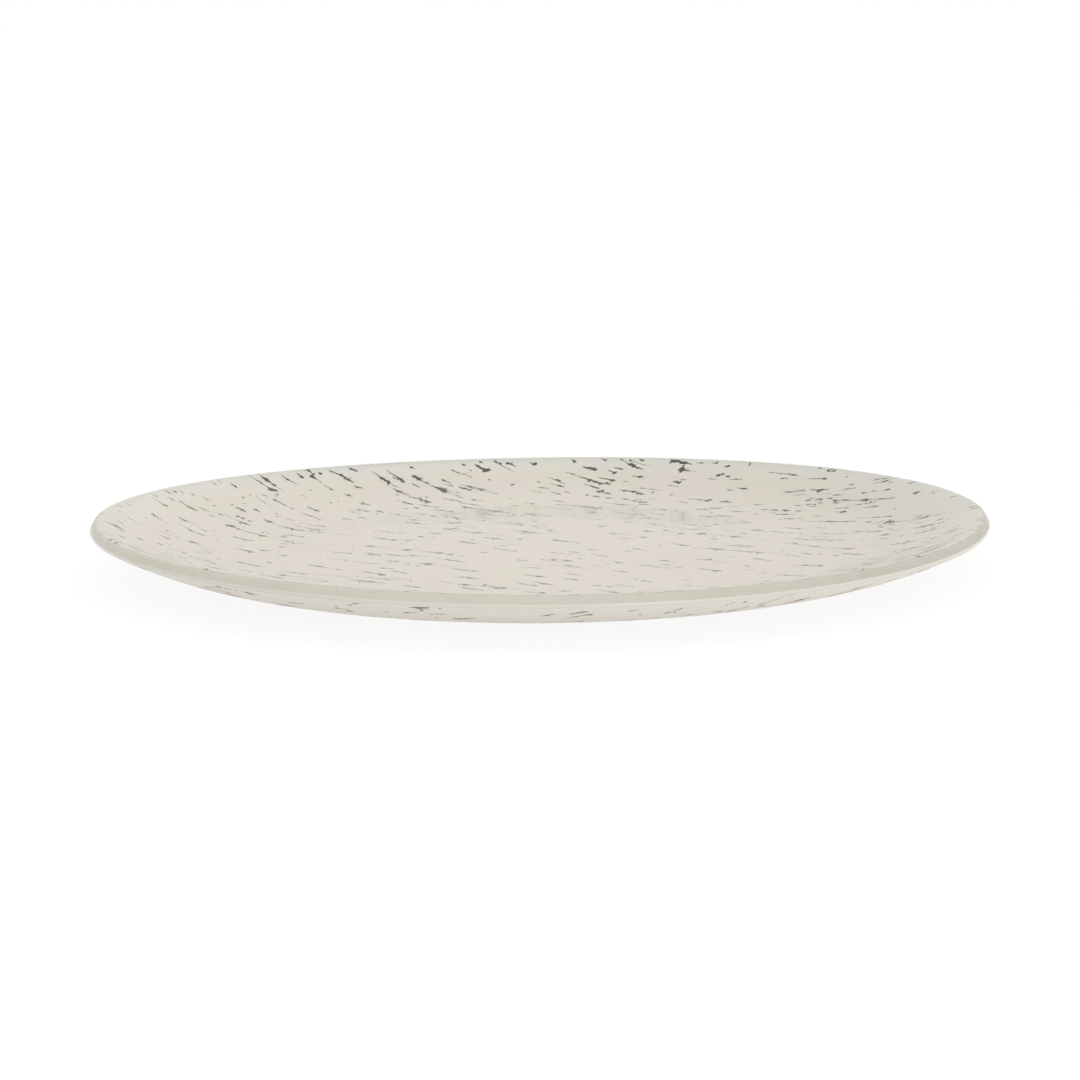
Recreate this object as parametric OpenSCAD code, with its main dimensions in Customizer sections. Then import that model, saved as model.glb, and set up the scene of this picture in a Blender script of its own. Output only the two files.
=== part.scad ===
// Round glass platter: a slumped clear dish, decorated on its reverse with dark flecks in an ivory coat.
// The origin is the middle of the flat base, where the platter meets the table, with +Z up.

/* [Platter] */
// Diameter across the rim
rim_d = 330; // [300:5:360]
// Diameter of the flat base
base_d = 204; // [190:2:220]
// Slope of the wall at the rim
wall_angle = 27.3; // [20:0.1:35]
// Radius of the softened corners of the ground edge
arris_r = 0.8; // [0.5:0.1:1.4]

/* [Layers] */
// Thickness of the clear glass
glass_t = 5; // [3:0.5:6]
// Thickness of the ivory coat on the reverse, and of the flecks in it
coat_t = 0.5; // [0.4:0.05:0.8]

/* [Flecks] */
// Direction that the flecks follow in plan, from the X axis
fleck_angle = -35; // [-90:5:90]
// How far a fleck may turn away from that direction, each way
fleck_turn = 9; // [0:1:12]
// Spacing of the flecks along their rows
fleck_pitch = 26; // [26:1:40]
// Spacing of the rows of flecks
fleck_row = 12; // [12:1:20]
// Length of the shortest fleck
fleck_len_min = 4; // [3:0.5:6]
// Length of the longest plain fleck
fleck_len_max = 15; // [8:0.5:15]
// Width of the broadest plain fleck
fleck_w = 1.6; // [0.8:0.1:1.8]
// Starting number of the sprinkle: another number gives another layout
fleck_seed = 11; // [1:1:99]

/* [Hidden] */

$fn = 96;

rim_r = rim_d / 2;
base_r = base_d / 2;

// The ground edge is square to the wall, and its corners have their centres this far from the middle of the glass
corner_offset = glass_t / 2 - arris_r;

// The middle of the glass follows one arc that leaves the floor level and ends at the edge. The lower corner
// of the edge is what reaches the rim's diameter.
middle_arc_r = (rim_r - base_r - arris_r) / sin(wall_angle) - corner_offset;

// Every face of the wall has the same arc centre, above the edge of the base
arc_centre = [base_r, middle_arc_r + glass_t / 2 + coat_t];
table_arc_r = arc_centre.y;
back_arc_r = table_arc_r - coat_t;
food_arc_r = back_arc_r - glass_t;
coat_end_r = base_r + back_arc_r * sin(wall_angle);
sector_reach = 2 * table_arc_r;
edge_middle = arc_centre + middle_arc_r * [sin(wall_angle), -cos(wall_angle)];
overall_h = edge_middle.y + corner_offset * cos(wall_angle) + arris_r;

// The prisms that cut the flecks start below the base and end above the rim
cutter_below = 1;
cutter_h = overall_h + 2 * cutter_below;

// Fleck outlines: pairs of a place along the fleck, from 0 to 1, and its half width there
sliver = [[0, 0], [0.22, 0.55], [0.5, 0.8], [0.8, 0.5], [1, 0]];
comma = [[0, 0], [0.35, 0.3], [0.7, 0.55], [0.88, 1], [1, 0]];
dash = [[0, 0], [0.18, 0.8], [0.5, 0.6], [0.84, 0.9], [1, 0]];
dumbbell = [
    [0, 0], [0.06, 1.5], [0.15, 1.7], [0.24, 0.5], [0.5, 0.35],
    [0.74, 0.5], [0.84, 1.8], [0.93, 1.3], [1, 0]
];
plain_kinds = [sliver, comma, sliver, dash];
// Share of the flecks that are dumbbells, and how much longer they are than the longest plain fleck
dumbbell_share = 0.08;
dumbbell_stretch = 1.6;
// Short flecks are commoner than long ones by this power
length_bias = 1.6;
// Share of the width by which a fleck's edge wanders, and share of the length by which it bows
edge_wander = 0.4;
bow = 0.04;
// Plain coat that stays between two flecks, and between a fleck and the rim
fleck_gap = 1;
// Share of the places in the rows that hold a fleck
fleck_fill = 0.85;

// A number from 0 to 1 that looks random and is the same every time: k is the use that fleck i makes of it
function chance(i, k) =
    let (v = 43758.5453 * sin(127.1 * i + 311.7 * k + 74.7 * fleck_seed))
    v - floor(v);
function either_way(i, k) = 2 * chance(i, k) - 1;

function is_dumbbell(i) = chance(i, 7) < dumbbell_share;
function fleck_kind(i) = is_dumbbell(i) ? dumbbell : plain_kinds[floor(len(plain_kinds) * chance(i, 8))];
function fleck_length(i) =
    is_dumbbell(i)
    ? dumbbell_stretch * fleck_len_max * (0.8 + 0.2 * chance(i, 3))
    : fleck_len_min + (fleck_len_max - fleck_len_min) * pow(chance(i, 3), length_bias);
function fleck_half_width(i) = fleck_w / 2 * (0.5 + 0.5 * chance(i, 4));
function fleck_bow(i) = bow * fleck_length(i) * either_way(i, 5);
function fleck_swing(i) = fleck_turn * either_way(i, 6);

// Room that a fleck takes across its row, once it is bowed and swung
function fleck_girth(i) =
    4 * fleck_half_width(i) + 2 * abs(fleck_bow(i)) + fleck_length(i) * abs(sin(fleck_swing(i))) + fleck_gap;

// One side of a fleck: up is 1 for its left side and -1 for its right
function fleck_side(i, up) = [
    for (k = [0 : len(fleck_kind(i)) - 1])
        let (place = fleck_kind(i)[k], wander = 1 + edge_wander * either_way(i, 20 + k + 10 * up))
        [
            fleck_length(i) * (place.x - 0.5),
            fleck_bow(i) * sin(180 * place.x) + up * fleck_half_width(i) * place.y * wander
        ]
];

// The two sides share their end points, so the way back leaves them out
function fleck_outline(i) =
    let (there = fleck_side(i, 1), back = fleck_side(i, -1))
    concat(there, [for (k = [len(back) - 2 : -1 : 1]) back[k]]);

// Rows of flecks run along the fleck direction, and every other row is half a pitch on. A fleck lies anywhere
// in its own stretch of its row, so no two flecks touch.
row_span = ceil(rim_r / fleck_row);
pitch_span = ceil(rim_r / fleck_pitch) + 1;
function fleck_place(i, step, row) = [
    fleck_pitch * (step + (row % 2) / 2) + (fleck_pitch - fleck_length(i) - fleck_gap) * either_way(i, 1) / 2,
    fleck_row * row + (fleck_row - fleck_girth(i)) * either_way(i, 2) / 2
];
function clears_rim(i, place) = norm(place) + fleck_length(i) / 2 + fleck_gap < coat_end_r;
flecks = [
    for (row = [-row_span : row_span])
        for (step = [-pitch_span : pitch_span])
            let (i = (row + row_span) * (2 * pitch_span + 1) + step + pitch_span)
            let (place = fleck_place(i, step, row))
            if (chance(i, 9) < fleck_fill && clears_rim(i, place))
                [i, place]
];

module fleck_prisms() {
    for (fleck = flecks)
        fleck_prism(fleck[0], fleck[1]);
}

module fleck_prism(i, place) {
    rotate(fleck_angle)
        translate([place.x, place.y, -cutter_below])
            rotate(fleck_swing(i))
                linear_extrude(cutter_h)
                    polygon(fleck_outline(i));
}

// The part of the wall's cross-section between two arcs
module wall_section(outer_r, inner_r) {
    intersection() {
        translate(arc_centre)
            difference() {
                circle(outer_r);
                circle(inner_r);
            }
        polygon([
            arc_centre,
            arc_centre - [0, sector_reach],
            arc_centre + sector_reach * [sin(wall_angle), -cos(wall_angle)]
        ]);
    }
}

// The ground edge: flat in the middle and round at both corners, and rooted in the wall
module edge_section() {
    translate(edge_middle)
        rotate(wall_angle) {
            translate([-arris_r, -corner_offset])
                square([2 * arris_r, 2 * corner_offset]);
            for (side = [-1, 1])
                translate([0, side * corner_offset])
                    circle(arris_r);
        }
}

module coat_section() {
    square([base_r, coat_t]);
    wall_section(table_arc_r, back_arc_r);
}

module glass_dish() {
    color([0.80, 0.86, 0.78, 0.45])
        rotate_extrude() {
            translate([0, coat_t])
                square([base_r, glass_t]);
            wall_section(back_arc_r, food_arc_r);
            edge_section();
        }
}

// The coat under the flat floor, which stands on the table
module base_coat() {
    color([0.89, 0.85, 0.80])
        difference() {
            cylinder(r = base_r, h = coat_t);
            fleck_prisms();
        }
}

// The coat behind the curved wall, from the edge of the base to the corner of the ground edge
module wall_coat() {
    color([0.89, 0.85, 0.80])
        difference() {
            rotate_extrude()
                wall_section(table_arc_r, back_arc_r);
            fleck_prisms();
        }
}

// Each fleck goes through the coat and lies against the glass
module dark_flecks() {
    color([0.27, 0.26, 0.22])
        for (fleck = flecks)
            intersection() {
                rotate_extrude()
                    coat_section();
                fleck_prism(fleck[0], fleck[1]);
            }
}

glass_dish();
base_coat();
wall_coat();
dark_flecks();
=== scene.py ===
import bisect
import math
import random

import bpy
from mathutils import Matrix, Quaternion, Vector


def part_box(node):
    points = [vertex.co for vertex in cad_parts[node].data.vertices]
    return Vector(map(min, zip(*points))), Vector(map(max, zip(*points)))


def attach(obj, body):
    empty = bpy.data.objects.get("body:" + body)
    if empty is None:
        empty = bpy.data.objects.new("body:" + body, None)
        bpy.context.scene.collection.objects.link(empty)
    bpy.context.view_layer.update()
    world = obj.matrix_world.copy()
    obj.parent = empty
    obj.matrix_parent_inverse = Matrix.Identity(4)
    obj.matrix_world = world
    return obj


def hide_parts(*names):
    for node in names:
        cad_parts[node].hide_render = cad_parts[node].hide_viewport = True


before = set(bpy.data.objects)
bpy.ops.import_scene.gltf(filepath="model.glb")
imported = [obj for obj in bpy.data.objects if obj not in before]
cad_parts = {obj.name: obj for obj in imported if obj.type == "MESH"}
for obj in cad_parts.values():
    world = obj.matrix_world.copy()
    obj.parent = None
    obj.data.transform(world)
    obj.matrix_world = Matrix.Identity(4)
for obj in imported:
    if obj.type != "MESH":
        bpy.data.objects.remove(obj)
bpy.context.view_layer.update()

MM = 0.001

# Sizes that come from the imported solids, in millimetres to a tenth
glass_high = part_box("glass_dish")[1]
base_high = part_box("base_coat")[1]
RIM_R = round(glass_high.x / MM, 1)
BASE_R = round(base_high.x / MM, 1)
COAT_T = round(base_high.z / MM, 1)

# Sizes in millimetres that the boxes don't show
GLASS_T = 5.0
# The upper corner of the ground edge is a quarter of an ellipse, long along the wall, and the lower corner is
# round
UPPER_CORNER_RUN = 5.0
UPPER_CORNER_DROP = 2.2
LOWER_CORNER_R = 0.8
WALL_ANGLE = math.radians(27.3)
# The floor of the slumped glass eases into the wall over this distance each side of the edge of the base
EASE = 14.0
# The slumped rim stands off level by this much, up at two opposite sides and down between them, and it is a
# little higher at -X than at +X and at +Y than at -Y
RIM_LIFT = 1.35
RIM_LIFT_TURN = math.radians(11.5)
RIM_TILT_X = -0.4
RIM_TILT_Y = 0.5
RIM_LIFT_POWER = 1.5
# The coat is bonded this far inside the glass, the flecks stand this far out of it on both faces, and it ends
# as a film this thick at the flat of the ground edge
BOND = 0.02
FLECK_PROUD = 0.015
FILM_T = 0.08

# The middle of the glass bends along one arc and ends in a flat ground edge with softened corners
MIDDLE_DEPTH = COAT_T + GLASS_T / 2
MIDDLE_ARC_R = (RIM_R - BASE_R - LOWER_CORNER_R) / math.sin(WALL_ANGLE) - (GLASS_T / 2 - LOWER_CORNER_R)

# How finely the turned pieces are divided: steps round the axis, millimetres along the glass, and steps round
# a corner
AROUND = 240
MIDDLE_STEP = 0.5
FLOOR_STEP = 12.0
WALL_STEP = 2.5
CORNER_STEPS = 12
# The food face ends at least this far from the start of the upper corner
CORNER_CLEAR = 0.5


def slope_at(s):
    """Slope of the glass at the distance s from the axis, measured along its middle."""
    past = s - (BASE_R - EASE)
    if past <= 0:
        return 0.0
    if past < 2 * EASE:
        return past ** 2 / (4 * EASE * MIDDLE_ARC_R)
    return (s - BASE_R) / MIDDLE_ARC_R


# Radius, height and slope along the middle of the glass
middle_length = BASE_R + WALL_ANGLE * MIDDLE_ARC_R
middle_steps = math.ceil(middle_length / MIDDLE_STEP)
step_length = middle_length / middle_steps
middle_line = [(0.0, MIDDLE_DEPTH, 0.0)]
for k in range(middle_steps):
    r, z = middle_line[-1][:2]
    slope = slope_at((k + 0.5) * step_length)
    r += step_length * math.cos(slope)
    z += step_length * math.sin(slope)
    middle_line.append((r, z, slope_at((k + 1) * step_length)))
edge_middle = middle_line[-1]


def layer_line(depth):
    """Radius and height along the face that lies depth above the table face, measured square to it."""
    h = depth - MIDDLE_DEPTH
    return [(max(0.0, r - h * math.sin(a)), z + h * math.cos(a)) for r, z, a in middle_line]


def layer_section(depth):
    """Points of one face from the middle to the ground edge, closer together where it bends."""
    line = layer_line(depth)
    section = [line[0]]
    for r, z in line[1:-1]:
        step = FLOOR_STEP if r < BASE_R - EASE else WALL_STEP
        if r - section[-1][0] >= step:
            section.append((r, z))
    return section + [line[-1]]


def rim_lift(x, y):
    """How far the slumped rim stands off level over the plan point x, y."""
    out = max(0.0, (math.hypot(x, y) - BASE_R) / (RIM_R - BASE_R))
    a = math.atan2(y, x)
    tilt = RIM_TILT_X * math.cos(a) + RIM_TILT_Y * math.sin(a)
    return out ** RIM_LIFT_POWER * (RIM_LIFT * math.cos(2 * (a - RIM_LIFT_TURN)) + tilt)


def layer_height(depth):
    """A function that gives the height of one face over a plan point x, y."""
    line = layer_line(depth)
    radii = [r for r, z in line]

    def height(x, y):
        r = min(math.hypot(x, y), radii[-1])
        k = min(max(1, bisect.bisect_left(radii, r)), len(radii) - 1)
        share = (r - radii[k - 1]) / (radii[k] - radii[k - 1])
        return line[k - 1][1] + share * (line[k][1] - line[k - 1][1]) + rim_lift(x, y)

    return height


def edge_point(along, across):
    """Radius and height of a point given along and square to the wall, from the end of the middle line."""
    r, z, slope = edge_middle
    ca, sa = math.cos(slope), math.sin(slope)
    return (r + along * ca - across * sa, z + along * sa + across * ca)


def upper_corner_point(turn):
    """A point round the upper corner, from 0 at the flat to a quarter turn at the food face."""
    along = LOWER_CORNER_R - UPPER_CORNER_RUN * (1 - math.cos(turn))
    return edge_point(along, GLASS_T / 2 - UPPER_CORNER_DROP * (1 - math.sin(turn)))


def lower_corner_point(distance, turn):
    """A point this far from the lower corner's centre, from 0 at the flat to a quarter turn at the back."""
    across = LOWER_CORNER_R - GLASS_T / 2 - distance * math.sin(turn)
    return edge_point(distance * math.cos(turn), across)


def mesh_object(name, points, faces, materials, face_materials=None):
    """A mesh from points in millimetres, with one material number for each face where there are several."""
    mesh = bpy.data.meshes.new(name)
    mesh.from_pydata([Vector(p) * MM for p in points], [], faces)
    for material in materials:
        mesh.materials.append(material)
    if face_materials:
        mesh.polygons.foreach_set("material_index", face_materials)
    mesh.update()
    piece = bpy.data.objects.new(name, mesh)
    bpy.context.collection.objects.link(piece)
    return piece


def turned(name, section, materials, row_materials):
    """A closed solid of revolution: section runs from the axis, out round the edge and back to the axis.

    row_materials holds one material number for each step along the section.
    """
    inner = section[1:-1]
    points = [(0.0, 0.0, section[0][1])]
    for r, z in inner:
        for k in range(AROUND):
            a = 2 * math.pi * k / AROUND
            x, y = r * math.cos(a), r * math.sin(a)
            points.append((x, y, z + rim_lift(x, y)))
    points.append((0.0, 0.0, section[-1][1]))
    last = len(points) - 1
    end_ring = 1 + (len(inner) - 1) * AROUND
    faces = []
    face_materials = []
    for k in range(AROUND):
        n = (k + 1) % AROUND
        faces.append((0, 1 + k, 1 + n))
        for row in range(len(inner) - 1):
            start = 1 + row * AROUND
            faces.append((start + k, start + AROUND + k, start + AROUND + n, start + n))
        faces.append((last, end_ring + n, end_ring + k))
        face_materials.extend(row_materials)
    piece = mesh_object(name, points, faces, materials, face_materials)
    piece.data.polygons.foreach_set("use_smooth", [True] * len(faces))
    return piece


# Node helpers
WHITE = (1, 1, 1)
BLACK = (0, 0, 0)


def new_material(name):
    material = bpy.data.materials.new(name)
    material.use_nodes = True
    nodes = material.node_tree.nodes
    return material, nodes, material.node_tree.links, nodes["Principled BSDF"]


def object_place(nodes):
    return nodes.new("ShaderNodeTexCoord").outputs["Object"]


def noise(nodes, links, vector, scale, detail):
    texture = nodes.new("ShaderNodeTexNoise")
    texture.inputs["Scale"].default_value = scale
    texture.inputs["Detail"].default_value = detail
    links.new(vector, texture.inputs["Vector"])
    return texture.outputs["Fac"]


def ramp(nodes, links, value, stops):
    """The colour that a row of places and colours gives to a value."""
    node = nodes.new("ShaderNodeValToRGB")
    elements = node.color_ramp.elements
    for element, (place, colour) in zip(elements, (stops[0], stops[-1])):
        element.position = place
        element.color = (*colour, 1)
    for place, colour in stops[1:-1]:
        elements.new(place).color = (*colour, 1)
    links.new(value, node.inputs["Fac"])
    return node.outputs["Color"]


def calculate(nodes, links, operation, *operands):
    """The result of a Math node whose operands are numbers or sockets."""
    node = nodes.new("ShaderNodeMath")
    node.operation = operation
    for socket, operand in zip(node.inputs, operands):
        if isinstance(operand, float):
            socket.default_value = operand
        else:
            links.new(operand, socket)
    return node.outputs["Value"]


def mix_shaders(nodes, links, share, first, second):
    """The first shader, and the share of the second in it."""
    node = nodes.new("ShaderNodeMixShader")
    links.new(share, node.inputs["Fac"])
    links.new(first, node.inputs[1])
    links.new(second, node.inputs[2])
    return node.outputs["Shader"]


def bump(nodes, links, height, strength, distance, shader):
    node = nodes.new("ShaderNodeBump")
    node.inputs["Strength"].default_value = strength
    node.inputs["Distance"].default_value = distance * MM
    links.new(height, node.inputs["Height"])
    links.new(node.outputs["Normal"], shader.inputs["Normal"])


def painted_side_shade(nodes, links, place, colour, start, drop):
    """The colour with painted shade, darker from X = start towards the rim at +X, where it loses the share
    drop, for the light that falls unevenly from side to side. A negative drop paints it paler there.
    """
    parts = nodes.new("ShaderNodeSeparateXYZ")
    links.new(place, parts.inputs["Vector"])
    shade = nodes.new("ShaderNodeMapRange")
    shade.inputs["From Min"].default_value = start * MM
    shade.inputs["From Max"].default_value = RIM_R * MM
    shade.inputs["To Min"].default_value = 1.0
    shade.inputs["To Max"].default_value = 1.0 - drop
    links.new(parts.outputs["X"], shade.inputs["Value"])
    product = nodes.new("ShaderNodeVectorMath")
    product.operation = "SCALE"
    links.new(colour, product.inputs["Vector"])
    links.new(shade.outputs["Result"], product.inputs["Scale"])
    return product.outputs["Vector"]


# Painted tint: near the rim the coat is painted cooler and a little darker, in place of the grey-green look
# # that the glass edge gives it there. The tint comes in between these shares of the rim's radius.
RIM_TINT_START = 0.945
RIM_TINT_FULL = 0.985


def painted_rim_tint(nodes, links, place, colour, tint):
    """The colour, multiplied by a painted tint that comes in over the last part of the wall before the rim.
    """
    plan = nodes.new("ShaderNodeVectorMath")
    plan.operation = "MULTIPLY"
    plan.inputs[1].default_value = (1 / (RIM_R * MM), 1 / (RIM_R * MM), 0.0)
    links.new(place, plan.inputs[0])
    radius = nodes.new("ShaderNodeVectorMath")
    radius.operation = "LENGTH"
    links.new(plan.outputs["Vector"], radius.inputs[0])
    tints = ramp(nodes, links, radius.outputs["Value"], [(RIM_TINT_START, WHITE), (RIM_TINT_FULL, tint)])
    product = nodes.new("ShaderNodeVectorMath")
    product.operation = "MULTIPLY"
    links.new(colour, product.inputs[0])
    links.new(tints, product.inputs[1])
    return product.outputs["Vector"]


# Clear glass, with the soft waves of its slumped faces and a faint green in its depth
GLASS_TINT = (0.99, 1.0, 0.99)
GLASS_ROUGH = 0.07
GLASS_IOR = 1.5
WAVE_SCALE = 18.0
WAVE_DETAIL = 1.0
WAVE_STRENGTH = 0.2
WAVE_HEIGHT = 0.4
DEPTH_GREEN = (0.53, 0.80, 0.62)
DEPTH_DENSITY = 5.5


def glass_material(name):
    material, nodes, links, shader = new_material(name)
    shader.inputs["Base Color"].default_value = (*GLASS_TINT, 1)
    shader.inputs["Roughness"].default_value = GLASS_ROUGH
    shader.inputs["IOR"].default_value = GLASS_IOR
    shader.inputs["Transmission Weight"].default_value = 1.0
    wave = noise(nodes, links, object_place(nodes), WAVE_SCALE, WAVE_DETAIL)
    bump(nodes, links, wave, WAVE_STRENGTH, WAVE_HEIGHT, shader)
    volume = nodes.new("ShaderNodeVolumeAbsorption")
    volume.inputs["Color"].default_value = (*DEPTH_GREEN, 1)
    volume.inputs["Density"].default_value = DEPTH_DENSITY
    links.new(volume.outputs["Volume"], nodes["Material Output"].inputs["Volume"])
    return material


# The ground edge: a clouded satin flat, a painted shade where the surface turns up to the brighter light
# # overhead, and a skin that fades out there
FLAT_DARK = (0.515, 0.52, 0.455)
FLAT_PALE = (0.555, 0.555, 0.495)
# Painted shade: the corner is darker where it faces up, to even out the stronger light from above
PAINTED_UPTURN_SHADE = (0.50, 0.50, 0.44)
GROUND_CLOUD_SCALE = 60.0
GROUND_CLOUD_DETAIL = 3.0
GROUND_CLOUDS = [(0.35, FLAT_DARK), (0.65, FLAT_PALE)]
GROUND_ROUGH = 0.4
GROUND_SHINE = 0.2
# These two go by how far up the surface faces: 0 is sideways and 1 is straight up
UPTURN_SHADE_RAMP = [(0.65, BLACK), (0.95, WHITE)]
SKIN_FADE = [(0.9, (0.85,) * 3), (0.96, (0.6,) * 3), (1.0, BLACK)]
# Scattered light that the ground edge lets into the glass
FROST = (0.92, 0.96, 0.94)
FROST_SHARE = 0.85
# Painted shade and light: the flat and the coat behind the glass are painted darker towards +X, and the
# # bare under face is painted paler there, for the light that falls unevenly from side to side. Each pair
# # holds the X where the painted shade starts and the share that is lost at the rim.
FLAT_PAINTED_SHADE = (0.0, 0.16)
COAT_PAINTED_SHADE = (0.0, 0.07)
UNDER_PAINTED_LIGHT = (-RIM_R, -0.10)


def ground_glass_material():
    """Glass under a satin skin that fades out where the surface turns up to the food face.

    From inside, the edge mirrors the coat as clear glass does and lets in scattered light.
    """
    material = glass_material("ground_glass")
    nodes, links = material.node_tree.nodes, material.node_tree.links
    surface = nodes.new("ShaderNodeNewGeometry").outputs
    normal = nodes.new("ShaderNodeSeparateXYZ")
    links.new(surface["Normal"], normal.inputs["Vector"])
    upward = normal.outputs["Z"]
    place = object_place(nodes)
    cloud = noise(nodes, links, place, GROUND_CLOUD_SCALE, GROUND_CLOUD_DETAIL)
    colour = nodes.new("ShaderNodeMix")
    colour.data_type = "RGBA"
    colour.inputs["B"].default_value = (*PAINTED_UPTURN_SHADE, 1)
    # Painted shade where the surface turns up
    links.new(ramp(nodes, links, upward, UPTURN_SHADE_RAMP), colour.inputs["Factor"])
    links.new(ramp(nodes, links, cloud, GROUND_CLOUDS), colour.inputs["A"])
    satin = nodes.new("ShaderNodeBsdfPrincipled")
    satin.inputs["Roughness"].default_value = GROUND_ROUGH
    satin.inputs["Specular IOR Level"].default_value = GROUND_SHINE
    # Painted shade: the satin is darker towards +X
    links.new(painted_side_shade(nodes, links, place, colour.outputs["Result"], *FLAT_PAINTED_SHADE), satin.inputs["Base Color"])
    fade = ramp(nodes, links, upward, SKIN_FADE)
    outside = calculate(nodes, links, "SUBTRACT", 1.0, surface["Backfacing"])
    skin_share = calculate(nodes, links, "MULTIPLY", fade, outside)
    glass_shader = nodes["Principled BSDF"].outputs["BSDF"]
    skin = mix_shaders(nodes, links, skin_share, glass_shader, satin.outputs["BSDF"])
    frost = nodes.new("ShaderNodeBsdfTranslucent")
    frost.inputs["Color"].default_value = (*FROST, 1)
    let_in = calculate(nodes, links, "MULTIPLY", surface["Backfacing"], FROST_SHARE)
    edge = mix_shaders(nodes, links, let_in, skin, frost.outputs["BSDF"])
    links.new(edge, nodes["Material Output"].inputs["Surface"])
    return material


# The coat: broad clouds from cream to blush, and a fine grain
COAT_CLOUD_SCALE = 26.0
COAT_CLOUD_DETAIL = 4.0
COAT_CLOUD_STOPS = (0.34, 0.50, 0.66)
GRAIN_SCALE = 900.0
GRAIN_DETAIL = 2.0
GRAIN_STRENGTH = 0.2
GRAIN_HEIGHT = 0.1
# Painted tints near the rim: for the coat behind the glass, and for the bare under face and film
COAT_PAINTED_RIM_TINT = (0.925, 0.97, 1.0)
UNDER_PAINTED_RIM_TINT = (0.97, 0.99, 1.0)
# Specular levels: what is bonded to the glass has no shine of its own, the bare under face has a little, and
# the film that wraps the edge has most
BONDED = 0.0
BARE = 0.3
GLOSSY = 0.6
# Roughness of the satin coat and of the smooth film that it thins out to
SATIN = 0.5
SMOOTH = 0.22


def coat_material(name, rough, shine, shade, tint, clouds):
    """clouds holds the cream, middle and blush tones of the coat."""
    material, nodes, links, shader = new_material(name)
    place = object_place(nodes)
    cloud = noise(nodes, links, place, COAT_CLOUD_SCALE, COAT_CLOUD_DETAIL)
    colour = ramp(nodes, links, cloud, list(zip(COAT_CLOUD_STOPS, clouds)))
    # Painted side shade: the coat is darker towards +X, and the under face and film are paler there
    coat = painted_side_shade(nodes, links, place, colour, *shade)
    # Painted tint near the rim
    links.new(painted_rim_tint(nodes, links, place, coat, tint), shader.inputs["Base Color"])
    grain = noise(nodes, links, place, GRAIN_SCALE, GRAIN_DETAIL)
    bump(nodes, links, grain, GRAIN_STRENGTH, GRAIN_HEIGHT, shader)
    shader.inputs["Roughness"].default_value = rough
    shader.inputs["Specular IOR Level"].default_value = shine
    return material


FLECK_CLOUD_SCALE = 400.0
FLECK_CLOUD_DETAIL = 3.0
FLECK_CLOUD_STOPS = (0.35, 0.7)


def fleck_material(name, shine, clouds):
    """clouds holds the dark and the pale tone of the flecks."""
    material, nodes, links, shader = new_material(name)
    cloud = noise(nodes, links, object_place(nodes), FLECK_CLOUD_SCALE, FLECK_CLOUD_DETAIL)
    colour = ramp(nodes, links, cloud, list(zip(FLECK_CLOUD_STOPS, clouds)))
    links.new(colour, shader.inputs["Base Color"])
    shader.inputs["Roughness"].default_value = SATIN
    shader.inputs["Specular IOR Level"].default_value = shine
    return material


clear_glass = glass_material("clear_glass")
ground_glass = ground_glass_material()
IVORY = [(0.945, 0.88, 0.805), (0.95, 0.875, 0.825), (0.95, 0.87, 0.845)]
UNDER_IVORY = [(0.66, 0.63, 0.555), (0.665, 0.625, 0.56), (0.67, 0.62, 0.57)]
FILM_IVORY = [(0.57, 0.555, 0.495), (0.575, 0.55, 0.50), (0.58, 0.545, 0.505)]
ivory_enamel = coat_material("ivory_enamel", SATIN, BONDED, COAT_PAINTED_SHADE, COAT_PAINTED_RIM_TINT, IVORY)
ivory_back = coat_material("ivory_back", SATIN, BARE, UNDER_PAINTED_LIGHT, UNDER_PAINTED_RIM_TINT, UNDER_IVORY)
ivory_film = coat_material("ivory_film", SMOOTH, GLOSSY, UNDER_PAINTED_LIGHT, UNDER_PAINTED_RIM_TINT, FILM_IVORY)
dark_enamel = fleck_material("dark_enamel", BONDED, [(0.018, 0.006, 0.0), (0.034, 0.015, 0.001)])
veiled_enamel = fleck_material("veiled_enamel", BARE, [(0.13, 0.115, 0.085), (0.25, 0.225, 0.18)])

# Glass dish: food face, ground edge with two softened corners, back face
CLEAR_ROW, GROUND_ROW = 0, 1
QUARTER = [math.pi / 2 * k / CORNER_STEPS for k in range(CORNER_STEPS + 1)]
upper_corner = [upper_corner_point(turn) for turn in reversed(QUARTER)]
lower_corner = [lower_corner_point(LOWER_CORNER_R, turn) for turn in QUARTER[:-1]]
food_end_r = upper_corner[0][0] - CORNER_CLEAR
food_section = [point for point in layer_section(COAT_T + GLASS_T) if point[0] < food_end_r]
back_section = layer_section(COAT_T)
glass_section = food_section + upper_corner + lower_corner + back_section[::-1]
# The ground part takes in the flat and half of the upper corner
glass_rows = [CLEAR_ROW] * (len(glass_section) - 1)
flat_row = len(food_section) + len(upper_corner) - 1
for row in range(flat_row - CORNER_STEPS // 2, flat_row + 1):
    glass_rows[row] = GROUND_ROW
glass = turned("glass_body", glass_section, [clear_glass, ground_glass], glass_rows)
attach(glass, "root")
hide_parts("glass_dish")

# Ivory coat: its upper face is bonded a hair inside the glass and wraps the lower corner of the edge, where
# the coat thins out to a film, and its under face is a backing
ENAMEL_ROW, BACK_ROW, FILM_ROW = 0, 1, 2
coat_top = layer_section(COAT_T + BOND)
wrap_inside = [lower_corner_point(LOWER_CORNER_R - BOND, turn) for turn in reversed(QUARTER[:-1])]
wrap_outside = []
for turn in QUARTER[:-1]:
    thickness = FILM_T + (COAT_T - FLECK_PROUD - FILM_T) * (1 - math.cos(turn))
    wrap_outside.append(lower_corner_point(LOWER_CORNER_R + thickness, turn))
coat_under = layer_section(FLECK_PROUD)
seen_through_glass = coat_top + wrap_inside
coat_section = seen_through_glass + wrap_outside + coat_under[::-1]
coat_rows = (
    [ENAMEL_ROW] * (len(seen_through_glass) - 1)
    + [FILM_ROW] * len(wrap_outside)
    + [BACK_ROW] * len(coat_under)
)
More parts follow.
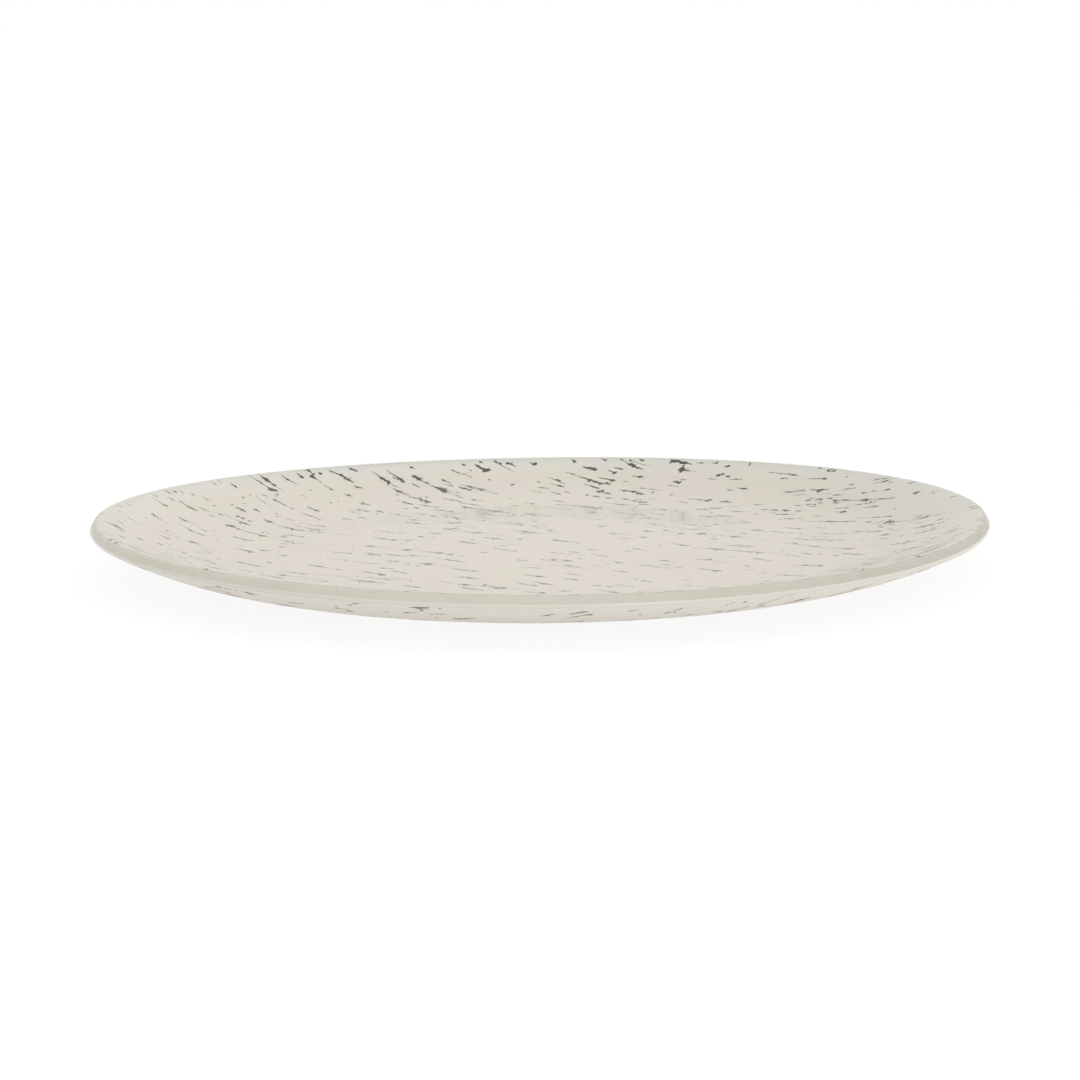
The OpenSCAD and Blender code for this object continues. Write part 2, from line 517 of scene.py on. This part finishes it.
coat = turned("ivory_layer", coat_section, [ivory_enamel, ivory_back, ivory_film], coat_rows)
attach(coat, "root")
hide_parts("base_coat", "wall_coat")

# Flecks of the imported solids, from the same rule as theirs
FLECK_ANGLE = math.radians(-35)
FLECK_TURN = math.radians(9)
FLECK_PITCH = 26
FLECK_ROW = 12
FLECK_LEN_MIN = 4
FLECK_LEN_MAX = 15
FLECK_W = 1.6
FLECK_SEED = 11
# Pairs of a place along the fleck, from 0 to 1, and its half width there
SLIVER = [(0, 0), (0.22, 0.55), (0.5, 0.8), (0.8, 0.5), (1, 0)]
COMMA = [(0, 0), (0.35, 0.3), (0.7, 0.55), (0.88, 1), (1, 0)]
DASH = [(0, 0), (0.18, 0.8), (0.5, 0.6), (0.84, 0.9), (1, 0)]
DUMBBELL = [
    (0, 0), (0.06, 1.5), (0.15, 1.7), (0.24, 0.5), (0.5, 0.35),
    (0.74, 0.5), (0.84, 1.8), (0.93, 1.3), (1, 0),
]
PLAIN_KINDS = [SLIVER, COMMA, SLIVER, DASH]
DUMBBELL_SHARE = 0.08
DUMBBELL_STRETCH = 1.6
# The shortest dumbbell as a share of the longest, and the narrowest fleck as a share of the broadest
DUMBBELL_SHORTEST = 0.8
NARROWEST = 0.5
LENGTH_BIAS = 1.6
EDGE_WANDER = 0.4
BOW = 0.04
FLECK_GAP = 1
FLECK_FILL = 0.85
# Half width that every fleck keeps at its tips
TIP = 0.03
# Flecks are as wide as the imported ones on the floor, and bolder towards the rim, most of all at +Y
FLOOR_WIDTH = 1.0
FRONT_RIM_WIDTH = 1.15
BACK_RIM_WIDTH = 2.2
# They start to grow at this share of the way to the rim
GROWTH_START = 0.5
# Some flecks have a branch, many trail off in a whisker, and the dumbbells have hooked ends. Swings and turns
# are in radians, half widths and the hooks' length in millimetres, and the rest are shares of the fleck.
BRANCH_SHARE = 0.35
BRANCH_SWING = (0.3, 0.9)
BRANCH_PLACE = (-0.3, 0.3)
BRANCH_LENGTH = 0.4
BRANCH_WIDTH = 0.6
BRANCH_BOW = 0.15
# Half widths along a branch, as shares of the width at its root, and how far along it its middle lies
BRANCH_TAPER = [(0, 1.0), (0.3, 0.8), (1, 0.3)]
BRANCH_MIDDLE = 0.4
WHISKER_SHARE = 0.35
WHISKER_LENGTH = (0.3, 0.7)
WHISKER_HALF_WIDTH = (0.1, 0.2)
WHISKER_TURN = 0.06
WHISKER_BOW = 0.05
# How far along a whisker its middle lies, from the end of the fleck
WHISKER_LEAD = 0.4
HOOK_LENGTH = 3.0
HOOK_WIDTH = 0.9
HOOK_SWING = (0.6, 1.2)
HOOK_ENDS = (-0.36, 0.36)
COAT_END_R = layer_line(COAT_T)[-1][0]
# A fleck's top lies in the glass; its foot shows under the coat or stays hidden in it
fleck_top = layer_height(COAT_T + BOND + FLECK_PROUD)
fleck_foot = layer_height(0.0)
hidden_foot = layer_height(COAT_T / 2)
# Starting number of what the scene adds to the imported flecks
FINE_SEED = 47
rng = random.Random(FINE_SEED)
# Share by which the ragged edge of a fleck wanders between two places this far apart, and the least number of
# such steps along a fleck
FRAY = 0.35
FRAY_STEP = 0.4
LEAST_STATIONS = 5
# A fleck is a thinner line with knots on it, about this far apart and this long, each fuller on one side
LINE_SHARE = 0.62
KNOT_SPACING = 4.0
KNOT_REACH = (0.48, 1.12)
KNOT_GAIN = (0.4, 1.4)
KNOT_LEAN = 0.8


def fray():
    return rng.uniform(1 - FRAY, 1 + FRAY)


def swing_either_way(least, most):
    return rng.choice((-1, 1)) * rng.uniform(least, most)


def knots(length):
    """A function that gives how much of its width a fleck has at a place from 0 to 1 along it.

    side is 1 for its left half and -1 for its right.
    """
    count = round(length / KNOT_SPACING + rng.random())
    swells = []
    for k in range(count):
        reach = rng.uniform(*KNOT_REACH)
        place = rng.random()
        gain = rng.uniform(*KNOT_GAIN)
        lean = KNOT_LEAN * rng.uniform(-1, 1)
        swells.append((place, reach, gain, lean))

    def share(s, side):
        return LINE_SHARE + sum(
            gain * (1 + lean * side) * math.exp(-((s - place) * length / reach) ** 2)
            for place, reach, gain, lean in swells
        )

    return share


def along_fleck(x, y):
    """Plan point of a place given along and across the direction of the flecks."""
    ca, sa = math.cos(FLECK_ANGLE), math.sin(FLECK_ANGLE)
    return (x * ca - y * sa, x * sa + y * ca)


def width_share(place):
    """How wide flecks are drawn at a place, given along and across their direction."""
    out = math.hypot(*place) / COAT_END_R
    growth = min(1.0, max(0.0, out - GROWTH_START) / (1 - GROWTH_START))
    back = max(0.0, along_fleck(*place)[1] / COAT_END_R) ** 2
    at_rim = FRONT_RIM_WIDTH + (BACK_RIM_WIDTH - FRONT_RIM_WIDTH) * back
    return FLOOR_WIDTH + (at_rim - FLOOR_WIDTH) * growth


def chance(i, k):
    """A number from 0 to 1 that looks random and is the same every time.

    k is the use that fleck i makes of it. The uses have the same numbers as in the part's source.
    """
    v = 43758.5453 * math.sin(math.radians(127.1 * i + 311.7 * k + 74.7 * FLECK_SEED))
    return v - math.floor(v)


def either_way(i, k):
    return 2 * chance(i, k) - 1


def through(places, values):
    """A smooth curve through values given at rising places."""

    def curve(s):
        for k in range(len(places) - 1):
            if s <= places[k + 1]:
                t = (s - places[k]) / (places[k + 1] - places[k])
                t = t * t * (3 - 2 * t)
                return values[k] + (values[k + 1] - values[k]) * t
        return values[-1]

    return curve


class Flecks:
    """Gathers thin flakes that follow the back of the glass and go through the coat."""

    DARK, VEILED = 0, 1

    def __init__(self):
        self.points = []
        self.faces = []
        self.kinds = []

    def add(self, middle, turn, length, left, right, bow, foot=fleck_foot):
        """left and right give the half width at a place from 0 to 1 along the fleck."""
        stations = max(LEAST_STATIONS, round(length / FRAY_STEP))
        ca, sa = math.cos(turn), math.sin(turn)
        swell = knots(length)
        start = len(self.points)
        for k in range(stations + 1):
            s = k / stations
            along = length * (s - 0.5)
            offset = bow * math.sin(math.pi * s)
            sides = (offset + left(s) * swell(s, 1) * fray(), offset - right(s) * swell(s, -1) * fray())
            for side in sides:
                x = middle[0] + along * ca - side * sa
                y = middle[1] + along * sa + side * ca
                r = math.hypot(x, y)
                if r > COAT_END_R:
                    x, y = x * COAT_END_R / r, y * COAT_END_R / r
                for height in (fleck_top, foot):
                    self.points.append((x, y, height(x, y)))
        # Each station has four points: the top and foot of its left side, then of its right
        for k in range(stations):
            a = start + 4 * k
            b = a + 4
            self.add_face((a, a + 2, b + 2, b), self.DARK)
            self.add_face((a + 1, b + 1, b + 3, a + 3), self.VEILED)
            self.add_face((a, b, b + 1, a + 1), self.DARK)
            self.add_face((a + 2, a + 3, b + 3, b + 2), self.DARK)
        end = start + 4 * stations
        self.add_face((start, start + 1, start + 3, start + 2), self.DARK)
        self.add_face((end, end + 2, end + 3, end + 1), self.DARK)

    def add_face(self, corners, kind):
        self.faces.append(corners)
        self.kinds.append(kind)


flecks = Flecks()


def add_branch(middle, turn, along, length, half, swing, foot):
    """A short stroke that leaves a fleck at a place along it."""
    root = (middle[0] + along * math.cos(turn), middle[1] + along * math.sin(turn))
    centre = (
        root[0] + BRANCH_MIDDLE * length * math.cos(turn + swing),
        root[1] + BRANCH_MIDDLE * length * math.sin(turn + swing),
    )
    width = through([p for p, w in BRANCH_TAPER], [TIP + half * w for p, w in BRANCH_TAPER])
    bow = BRANCH_BOW * length * rng.choice((-1, 1))
    flecks.add(centre, turn + swing, length, width, width, bow, foot)


def add_whisker(middle, turn, length, half):
    """A hairline that carries a fleck on past one of its ends."""
    end = rng.choice((-1, 1))
    reach = length * rng.uniform(*WHISKER_LENGTH)
    lead = end * (0.5 * length + WHISKER_LEAD * reach)
    centre = (middle[0] + lead * math.cos(turn), middle[1] + lead * math.sin(turn))
    width = through([0, 1], [TIP + half, TIP + half])
    swing = rng.uniform(-WHISKER_TURN, WHISKER_TURN)
    flecks.add(centre, turn + swing, reach, width, width, WHISKER_BOW * reach, hidden_foot)


def add_packed_fleck(i, place, length, half, dumbbell):
    kind = DUMBBELL if dumbbell else PLAIN_KINDS[math.floor(len(PLAIN_KINDS) * chance(i, 8))]
    places = [p for p, w in kind]
    half *= width_share(place)
    sides = []
    for up in (1, -1):
        widths = [
            TIP + half * w * (1 + EDGE_WANDER * either_way(i, 20 + k + 10 * up))
            for k, (p, w) in enumerate(kind)
        ]
        sides.append(through(places, widths))
    turn = FLECK_ANGLE + FLECK_TURN * either_way(i, 6)
    middle = along_fleck(*place)
    flecks.add(middle, turn, length, *sides, BOW * length * either_way(i, 5))
    if dumbbell:
        for end in HOOK_ENDS:
            swing = swing_either_way(*HOOK_SWING)
            add_branch(middle, turn, end * length, HOOK_LENGTH, half * HOOK_WIDTH, swing, fleck_foot)
    if dumbbell or rng.random() < WHISKER_SHARE:
        add_whisker(middle, turn, length, rng.uniform(*WHISKER_HALF_WIDTH))
    if not dumbbell and rng.random() < BRANCH_SHARE:
        swing = swing_either_way(*BRANCH_SWING)
        along = length * rng.uniform(*BRANCH_PLACE)
        add_branch(middle, turn, along, BRANCH_LENGTH * length, half * BRANCH_WIDTH, swing, fleck_foot)


row_span = math.ceil(RIM_R / FLECK_ROW)
pitch_span = math.ceil(RIM_R / FLECK_PITCH) + 1
for row in range(-row_span, row_span + 1):
    for step in range(-pitch_span, pitch_span + 1):
        i = (row + row_span) * (2 * pitch_span + 1) + step + pitch_span
        dumbbell = chance(i, 7) < DUMBBELL_SHARE
        if dumbbell:
            stretch = DUMBBELL_SHORTEST + (1 - DUMBBELL_SHORTEST) * chance(i, 3)
            length = DUMBBELL_STRETCH * FLECK_LEN_MAX * stretch
        else:
            length = FLECK_LEN_MIN + (FLECK_LEN_MAX - FLECK_LEN_MIN) * chance(i, 3) ** LENGTH_BIAS
        half = FLECK_W / 2 * (NARROWEST + (1 - NARROWEST) * chance(i, 4))
        lean = abs(math.sin(FLECK_TURN * either_way(i, 6)))
        girth = 4 * half + 2 * abs(BOW * length * either_way(i, 5)) + length * lean + FLECK_GAP
        place = (
            FLECK_PITCH * (step + math.fmod(row, 2) / 2)
            + (FLECK_PITCH - length - FLECK_GAP) * either_way(i, 1) / 2,
            FLECK_ROW * row + (FLECK_ROW - girth) * either_way(i, 2) / 2,
        )
        if chance(i, 9) < FLECK_FILL and math.hypot(*place) + length / 2 + FLECK_GAP < COAT_END_R:
            add_packed_fleck(i, place, length, half, dumbbell)

# Finer flecks between them: dashes, some of them forked, broken rows, hairlines and specks
FINE_TURN = math.radians(12)
FINE_BOW = 0.06
# Half widths along a fine fleck, as shares of the thickest, how far they wander, and where the thickest lies
FINE_TAPER = (0.3, 0.7, 1, 0.7, 0.3)
FINE_WANDER = (0.6, 1.4)
THICKEST_PLACE = (0.2, 0.8)
# A fleck at least this half width shows on the under face too
SHOWS_THROUGH = 0.3
# A power of 0.5 would spread the fine flecks evenly; a lower one puts more of them near the rim
SPREAD_POWER = 0.46
SPREAD_MARGIN = 0.5


def on_ring(r):
    """A random place at a distance from the axis."""
    a = 2 * math.pi * rng.random()
    return r * math.cos(a), r * math.sin(a)


def anywhere():
    """A random place on the coat, along and across the direction of the flecks."""
    return on_ring((COAT_END_R - SPREAD_MARGIN) * rng.random() ** SPREAD_POWER)


def add_fine_fleck(place, length, half):
    """A fleck that is thickest at a random place, with blunt ends."""
    half *= width_share(place)
    thick = rng.uniform(*THICKEST_PLACE)
    places = [0, thick / 2, thick, (1 + thick) / 2, 1]
    sides = []
    for side in ("left", "right"):
        widths = [TIP + half * w * rng.uniform(*FINE_WANDER) for w in FINE_TAPER]
        sides.append(through(places, widths))
    turn = FLECK_ANGLE + FINE_TURN * rng.uniform(-1, 1)
    middle = along_fleck(*place)
    foot = fleck_foot if half > SHOWS_THROUGH else hidden_foot
    flecks.add(middle, turn, length, *sides, FINE_BOW * length * rng.uniform(-1, 1), foot)
    return middle, turn, foot


# Lengths and half widths are given as the least, what is added to it at most, and the power that favours the
# least
DASHES = 240
DASH_LENGTH = (3, 9, 1.5)
DASH_HALF_WIDTH = (0.2, 0.48, 1.4)
DASH_WHISKER_HALF_WIDTH = (0.08, 0.15)
FORK_SHARE = 0.3
FORK_SWING = (0.4, 1.0)
FORK_LENGTH = (1.5, 3.5)
FORK_WIDTH = 0.7


def biased(least, more, power):
    return least + more * rng.random() ** power


for k in range(DASHES):
    length = biased(*DASH_LENGTH)
    half = biased(*DASH_HALF_WIDTH)
    middle, turn, foot = add_fine_fleck(anywhere(), length, half)
    if rng.random() < WHISKER_SHARE:
        add_whisker(middle, turn, length, rng.uniform(*DASH_WHISKER_HALF_WIDTH))
    if rng.random() < FORK_SHARE:
        swing = swing_either_way(*FORK_SWING)
        along = length * rng.uniform(*BRANCH_PLACE)
        add_branch(middle, turn, along, rng.uniform(*FORK_LENGTH), half * FORK_WIDTH, swing, foot)

# From here on, lengths and half widths are given as the least and the most
BROKEN_ROWS = 40
BROKEN_COUNT = (2, 4)
BROKEN_LENGTH = (0.8, 5.0)
BROKEN_HALF_WIDTH = (0.2, 0.7)
BROKEN_STRAY = 0.8
BROKEN_GAP = (0.3, 3.0)
for k in range(BROKEN_ROWS):
    x, y = anywhere()
    for dash in range(rng.randint(*BROKEN_COUNT)):
        length = rng.uniform(*BROKEN_LENGTH)
        place = (x + length / 2, y + rng.uniform(-BROKEN_STRAY, BROKEN_STRAY))
        add_fine_fleck(place, length, rng.uniform(*BROKEN_HALF_WIDTH))
        x += length + rng.uniform(*BROKEN_GAP)

HAIRLINES = 40
HAIRLINE_LENGTH = (4, 13)
HAIRLINE_HALF_WIDTH = (0.1, 0.2)
for k in range(HAIRLINES):
    add_fine_fleck(anywhere(), rng.uniform(*HAIRLINE_LENGTH), rng.uniform(*HAIRLINE_HALF_WIDTH))

SPECKS = 150
SPECK_LENGTH = (0.5, 1.6)
SPECK_HALF_WIDTH = (0.2, 0.5)
for k in range(SPECKS):
    add_fine_fleck(anywhere(), rng.uniform(*SPECK_LENGTH), rng.uniform(*SPECK_HALF_WIDTH))

# Short dashes crowd the last few millimetres before the rim
RIM_DASHES = 90
RIM_DASH_INSET = (0.3, 3.5)
RIM_DASH_LENGTH = (1.0, 4.0)
RIM_DASH_HALF_WIDTH = (0.15, 0.35)
for k in range(RIM_DASHES):
    place = on_ring(COAT_END_R - rng.uniform(*RIM_DASH_INSET))
    add_fine_fleck(place, rng.uniform(*RIM_DASH_LENGTH), rng.uniform(*RIM_DASH_HALF_WIDTH))

# Fine strokes, with a starting number of their own, fill the upper part of the wall between them
WALL_STROKES = 160
STROKE_SEED = 1
STROKE_RADII = (BASE_R + 15.0, COAT_END_R - 2.0)
STROKE_LENGTH = (2.0, 7.0)
STROKE_HALF_WIDTH = (0.12, 0.3)
rng.seed(STROKE_SEED)
for k in range(WALL_STROKES):
    place = on_ring(rng.uniform(*STROKE_RADII))
    add_fine_fleck(place, rng.uniform(*STROKE_LENGTH), rng.uniform(*STROKE_HALF_WIDTH))

fleck_materials = [dark_enamel, veiled_enamel]
fleck_piece = mesh_object("fleck_flakes", flecks.points, flecks.faces, fleck_materials, flecks.kinds)
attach(fleck_piece, "root")
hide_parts("dark_flecks")


# Floor and light
def shows_background(nodes, links):
    """1 for rays that show the background, directly or through the glass, and 0 for lighting rays."""
    path = nodes.new("ShaderNodeLightPath").outputs
    value = path["Is Camera Ray"]
    for other in ("Is Glossy Ray", "Is Transmission Ray"):
        value = calculate(nodes, links, "MAXIMUM", value, path[other])
    return value


# The floor is white: it gives back part of the light and glows to make up the rest, and most of what the
# camera and the glass see of it is plain white, so that the shadow on it stays faint
FLOOR_GREY = 0.5
FLOOR_ROUGH = 0.9
FLOOR_SHINE = 0.5
FLOOR_LIFT = 0.75
FLOOR_GLOW = 1.0


def floor_material():
    material, nodes, links, shader = new_material("studio_floor")
    shader.inputs["Base Color"].default_value = (FLOOR_GREY, FLOOR_GREY, FLOOR_GREY, 1)
    shader.inputs["Roughness"].default_value = FLOOR_ROUGH
    shader.inputs["Specular IOR Level"].default_value = 0.0
    shader.inputs["Emission Color"].default_value = (*WHITE, 1)
    shader.inputs["Emission Strength"].default_value = FLOOR_SHINE
    glow = nodes.new("ShaderNodeEmission")
    glow.inputs["Strength"].default_value = FLOOR_GLOW
    share = calculate(nodes, links, "MULTIPLY", shows_background(nodes, links), FLOOR_LIFT)
    mixed = mix_shaders(nodes, links, share, shader.outputs["BSDF"], glow.outputs["Emission"])
    links.new(mixed, nodes["Material Output"].inputs["Surface"])
    return material


FLOOR_HALF = 4000.0
FLOOR_DROP = 0.1
corners = [(-1, -1), (1, -1), (1, 1), (-1, 1)]
floor_points = [(FLOOR_HALF * x, FLOOR_HALF * y, -FLOOR_DROP) for x, y in corners]
floor = mesh_object("floor", floor_points, [(0, 1, 2, 3)], [floor_material()])

# A white tent that is warmer at the horizon, brighter overhead and a little brighter to the right and in
# front. The glass mirrors and refracts the tent itself, which is near white, and the camera sees plain white.
TENT_HORIZON = (1.0, 0.945, 0.885)
TENT_TOP = (1.0, 0.99, 0.965)
TENT_COLOURS = [(0.0, TENT_HORIZON), (0.8, TENT_TOP)]
TENT_LEVEL = 0.85
TENT_TILT = Vector((0.15, -0.07, 0.5))
world = bpy.data.worlds.new("studio")
bpy.context.scene.world = world
world.use_nodes = True
world_nodes = world.node_tree.nodes
world_links = world.node_tree.links
tent = world_nodes["Background"]
direction = world_nodes.new("ShaderNodeTexCoord").outputs["Generated"]
parts = world_nodes.new("ShaderNodeSeparateXYZ")
world_links.new(direction, parts.inputs["Vector"])
world_links.new(ramp(world_nodes, world_links, parts.outputs["Z"], TENT_COLOURS), tent.inputs["Color"])
slant = world_nodes.new("ShaderNodeVectorMath")
slant.operation = "DOT_PRODUCT"
slant.inputs[1].default_value = TENT_TILT
world_links.new(direction, slant.inputs[0])
level = calculate(world_nodes, world_links, "ADD", slant.outputs["Value"], TENT_LEVEL)
world_links.new(level, tent.inputs["Strength"])
backdrop = world_nodes.new("ShaderNodeBackground")
backdrop.inputs["Color"].default_value = (*WHITE, 1)
backdrop.inputs["Strength"].default_value = 1.0
camera_ray = world_nodes.new("ShaderNodeLightPath").outputs["Is Camera Ray"]
studio = mix_shaders(
    world_nodes, world_links, camera_ray, tent.outputs["Background"], backdrop.outputs["Background"]
)
world_links.new(studio, world_nodes["World Output"].inputs["Surface"])

# A small lamp in front, to the right, that draws a light line along the edge
LAMP_PLACE = Vector((350.0, -900.0, 300.0))
LAMP_SIZE = 250.0
LAMP_WATTS = 0.6
LAMP_COLOUR = (1.0, 0.98, 0.95)
lamp_data = bpy.data.lights.new("edge_lamp", "AREA")
lamp_data.size = LAMP_SIZE * MM
lamp_data.energy = LAMP_WATTS
lamp_data.color = LAMP_COLOUR
lamp = bpy.data.objects.new("edge_lamp", lamp_data)
bpy.context.collection.objects.link(lamp)
lamp.location = LAMP_PLACE * MM
lamp.rotation_mode = "QUATERNION"
lamp.rotation_quaternion = (-LAMP_PLACE).to_track_quat("-Z", "Y")

# Camera, as a fit to the outline in the photograph places it
LENS = 80.25
SENSOR = 36.0
CAMERA_DISTANCE = 900.0
CAMERA_LIFT = math.radians(9.25)
CAMERA_ROLL = math.radians(-0.58)
AIM = Vector((-0.05, 0.0, 8.5))
toward = Vector((0.0, math.cos(CAMERA_LIFT), -math.sin(CAMERA_LIFT)))
camera_data = bpy.data.cameras.new("camera")
camera_data.lens = LENS
camera_data.sensor_width = SENSOR
camera = bpy.data.objects.new("camera", camera_data)
bpy.context.collection.objects.link(camera)
camera.location = (AIM - toward * CAMERA_DISTANCE) * MM
camera.rotation_mode = "QUATERNION"
camera.rotation_quaternion = toward.to_track_quat("-Z", "Y") @ Quaternion((0, 0, 1), CAMERA_ROLL)
bpy.context.scene.camera = camera
bpy.context.scene.view_settings.view_transform = "Standard"
